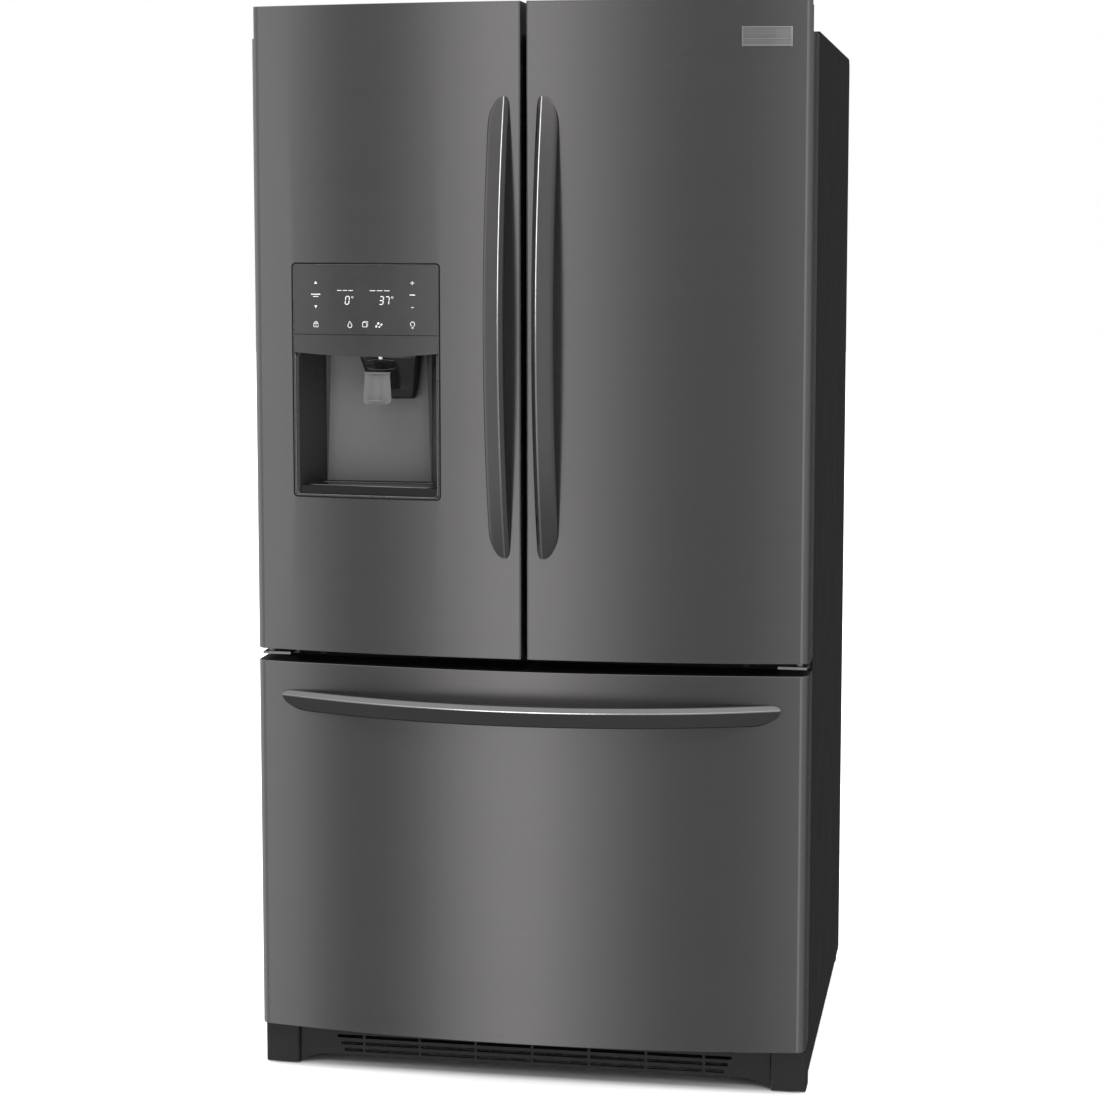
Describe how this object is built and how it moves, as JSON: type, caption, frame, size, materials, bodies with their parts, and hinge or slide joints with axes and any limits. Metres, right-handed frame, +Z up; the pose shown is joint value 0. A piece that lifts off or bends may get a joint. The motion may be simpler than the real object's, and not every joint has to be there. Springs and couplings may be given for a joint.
{
  "type": "french door refrigerator",
  "caption": "French door refrigerator with bowed black stainless doors, through-the-door dispenser, bowed handles and a bottom freezer drawer.",
  "frame": {"origin": "centre of the outline's footprint (door handles included), on the floor", "axes": "+Z up, +X to the right seen from the front, the doors face -Y"},
  "size_m": [0.914, 0.911, 1.763],
  "materials": {
    "cabinet_paint": "textured satin black",
    "rear_steel": "galvanised grey",
    "white_liner": "satin white",
    "foam": "rigid foam",
    "zinc_steel": "zinc plated",
    "roller_plastic": "hard wheel",
    "black_plastic": "fine textured black",
    "shelf_glass": "tempered clear",
    "grey_trim": "satin",
    "clear_plastic": "clear moulded",
    "white_plastic": "satin white",
    "light_lens": "frosted",
    "compressor_black": "gloss enamel",
    "coil_metal": "enamel",
    "black_stainless": "brushed horizontally, black stainless",
    "gasket": "soft",
    "dispenser_black": "satin black",
    "panel_black": "smooth satin",
    "smoke_plastic": "translucent smoke",
    "mullion_grey": "satin",
    "badge_steel": "brushed bright"
  },
  "bodies": {
    "cabinet": {"cabinet_wrapper": "cabinet_paint", "rear_panel": "rear_steel", "face_frame": "cabinet_paint", "fresh_food_liner": "white_liner", "freezer_liner": "white_liner", "foam_insulation": "foam", "base_frame": "cabinet_paint", "toe_grille": "black_plastic", "hinge_brackets": "zinc_steel", "hinge_covers": "black_plastic", "shelf_glass": "shelf_glass", "shelf_frames": "grey_trim", "ice_maker": "white_plastic", "air_covers": "white_plastic", "ceiling_light": "light_lens", "water_filter": "white_plastic", "compressor": "compressor_black", "cooling_coils": "coil_metal", "machine_cover": "rear_steel", "rear_connections": "black_plastic", "freezer_rails": "zinc_steel"},
    "door_left": {"door_left_skin": "black_stainless", "door_left_foam": "foam", "door_left_liner": "white_liner", "door_left_gasket": "gasket", "door_left_end_caps": "black_plastic", "door_left_handle": "black_stainless", "door_left_bins": "clear_plastic", "dispenser_housing": "dispenser_black", "control_panel": "panel_black", "ice_chute": "dispenser_black"},
    "door_right": {"door_right_skin": "black_stainless", "door_right_foam": "foam", "door_right_liner": "white_liner", "door_right_gasket": "gasket", "door_right_end_caps": "black_plastic", "door_right_handle": "black_stainless", "door_right_bins": "clear_plastic", "badge_plate": "badge_steel"},
    "freezer_drawer": {"drawer_skin": "black_stainless", "drawer_foam": "foam", "drawer_liner": "white_liner", "drawer_gasket": "gasket", "drawer_end_caps": "black_plastic", "drawer_handle": "black_stainless", "drawer_slides": "zinc_steel", "lower_basket": "white_plastic"},
    "dispenser_paddle": {"dispenser_paddle": "smoke_plastic"},
    "drip_tray": {"drip_tray": "dispenser_black"},
    "flip_mullion": {"flip_mullion": "mullion_grey"},
    "dairy_lid": {"dairy_lid": "clear_plastic"},
    "crisper_left": {"crisper_left": "clear_plastic"},
    "crisper_right": {"crisper_right": "clear_plastic"},
    "middle_slides": {"middle_slides": "zinc_steel"},
    "upper_basket": {"upper_basket": "white_plastic"},
    "leg_left": {"leg_left": "zinc_steel"},
    "leg_right": {"leg_right": "zinc_steel"},
    "rear_rollers": {"rear_rollers": "roller_plastic"},
    "condenser_fan": {"condenser_fan": "black_plastic"},
    "ice_auger": {"ice_auger": "zinc_steel"}
  },
  "joints": [
    {"name": "crisper_left_slide", "type": "slide", "parent": "cabinet", "child": "crisper_left", "axis": [0, -1, 0], "range_m": [0, 0.235]},
    {"name": "crisper_right_slide", "type": "slide", "parent": "cabinet", "child": "crisper_right", "axis": [0, -1, 0], "range_m": [0, 0.235]},
    {"name": "dairy_lid_hinge", "type": "hinge", "parent": "door_right", "child": "dairy_lid", "pos_m": [0.2215, -0.2885, 1.5345], "axis": [1, 0, 0], "range_deg": [0, 85]},
    {"name": "dispenser_paddle_hinge", "type": "hinge", "parent": "door_left", "child": "dispenser_paddle", "pos_m": [-0.2455, -0.3695, 1.172], "axis": [1, 0, 0], "range_deg": [0, 12], "stiffness_Nm_per_rad": 0.2, "springref_deg": -11.46},
    {"name": "door_left_hinge", "type": "hinge", "parent": "cabinet", "child": "door_left", "pos_m": [-0.439, -0.3275, 1.239], "axis": [0, 0, -1], "range_deg": [0, 115]},
    {"name": "door_right_hinge", "type": "hinge", "parent": "cabinet", "child": "door_right", "pos_m": [0.439, -0.3275, 1.239], "axis": [0, 0, 1], "range_deg": [0, 115]},
    {"name": "drip_tray_slide", "type": "slide", "parent": "door_left", "child": "drip_tray", "axis": [0, -1, 0], "range_m": [0, 0.05]},
    {"name": "flip_mullion_hinge", "type": "hinge", "parent": "door_left", "child": "flip_mullion", "pos_m": [-0.022, -0.2785, 1.2075], "axis": [0, 0, -1], "range_deg": [0, 90]},
    {"name": "freezer_drawer_slide", "type": "slide", "parent": "cabinet", "child": "freezer_drawer", "axis": [0, -1, 0], "range_m": [0, 0.42]},
    {"name": "leg_left_screw", "type": "hinge", "parent": "cabinet", "child": "leg_left", "pos_m": [-0.421, -0.2595, 0.02], "axis": [0, 0, 1], "continuous": true},
    {"name": "leg_right_screw", "type": "hinge", "parent": "cabinet", "child": "leg_right", "pos_m": [0.421, -0.2595, 0.02], "axis": [0, 0, 1], "continuous": true},
    {"name": "middle_slides_slide", "type": "slide", "parent": "cabinet", "child": "middle_slides", "axis": [0, -1, 0], "range_m": [0, 0.215]},
    {"name": "roller_axle", "type": "hinge", "parent": "cabinet", "child": "rear_rollers", "pos_m": [0, 0.4025, 0.019], "axis": [1, 0, 0], "continuous": true},
    {"name": "rotor_condenser_fan", "type": "hinge", "parent": "cabinet", "child": "condenser_fan", "pos_m": [-0.07, 0.3475, 0.172], "axis": [1, 0, 0], "continuous": true},
    {"name": "rotor_ice_auger", "type": "hinge", "parent": "cabinet", "child": "ice_auger", "pos_m": [-0.232, 0.0425, 1.372], "axis": [0, 1, 0], "continuous": true},
    {"name": "upper_basket_slide", "type": "slide", "parent": "cabinet", "child": "upper_basket", "axis": [0, -1, 0], "range_m": [0, 0.26]}
  ],
  "couplings": [
    {"joint": "crisper_left_slide", "follows": "door_left_hinge", "m_per_rad": 0.1146},
    {"joint": "crisper_right_slide", "follows": "door_right_hinge", "m_per_rad": 0.1146},
    {"joint": "middle_slides_slide", "follows": "freezer_drawer_slide", "ratio": 0.5},
    {"joint": "upper_basket_slide", "follows": "freezer_drawer_slide", "ratio": 0.6}
  ]
}
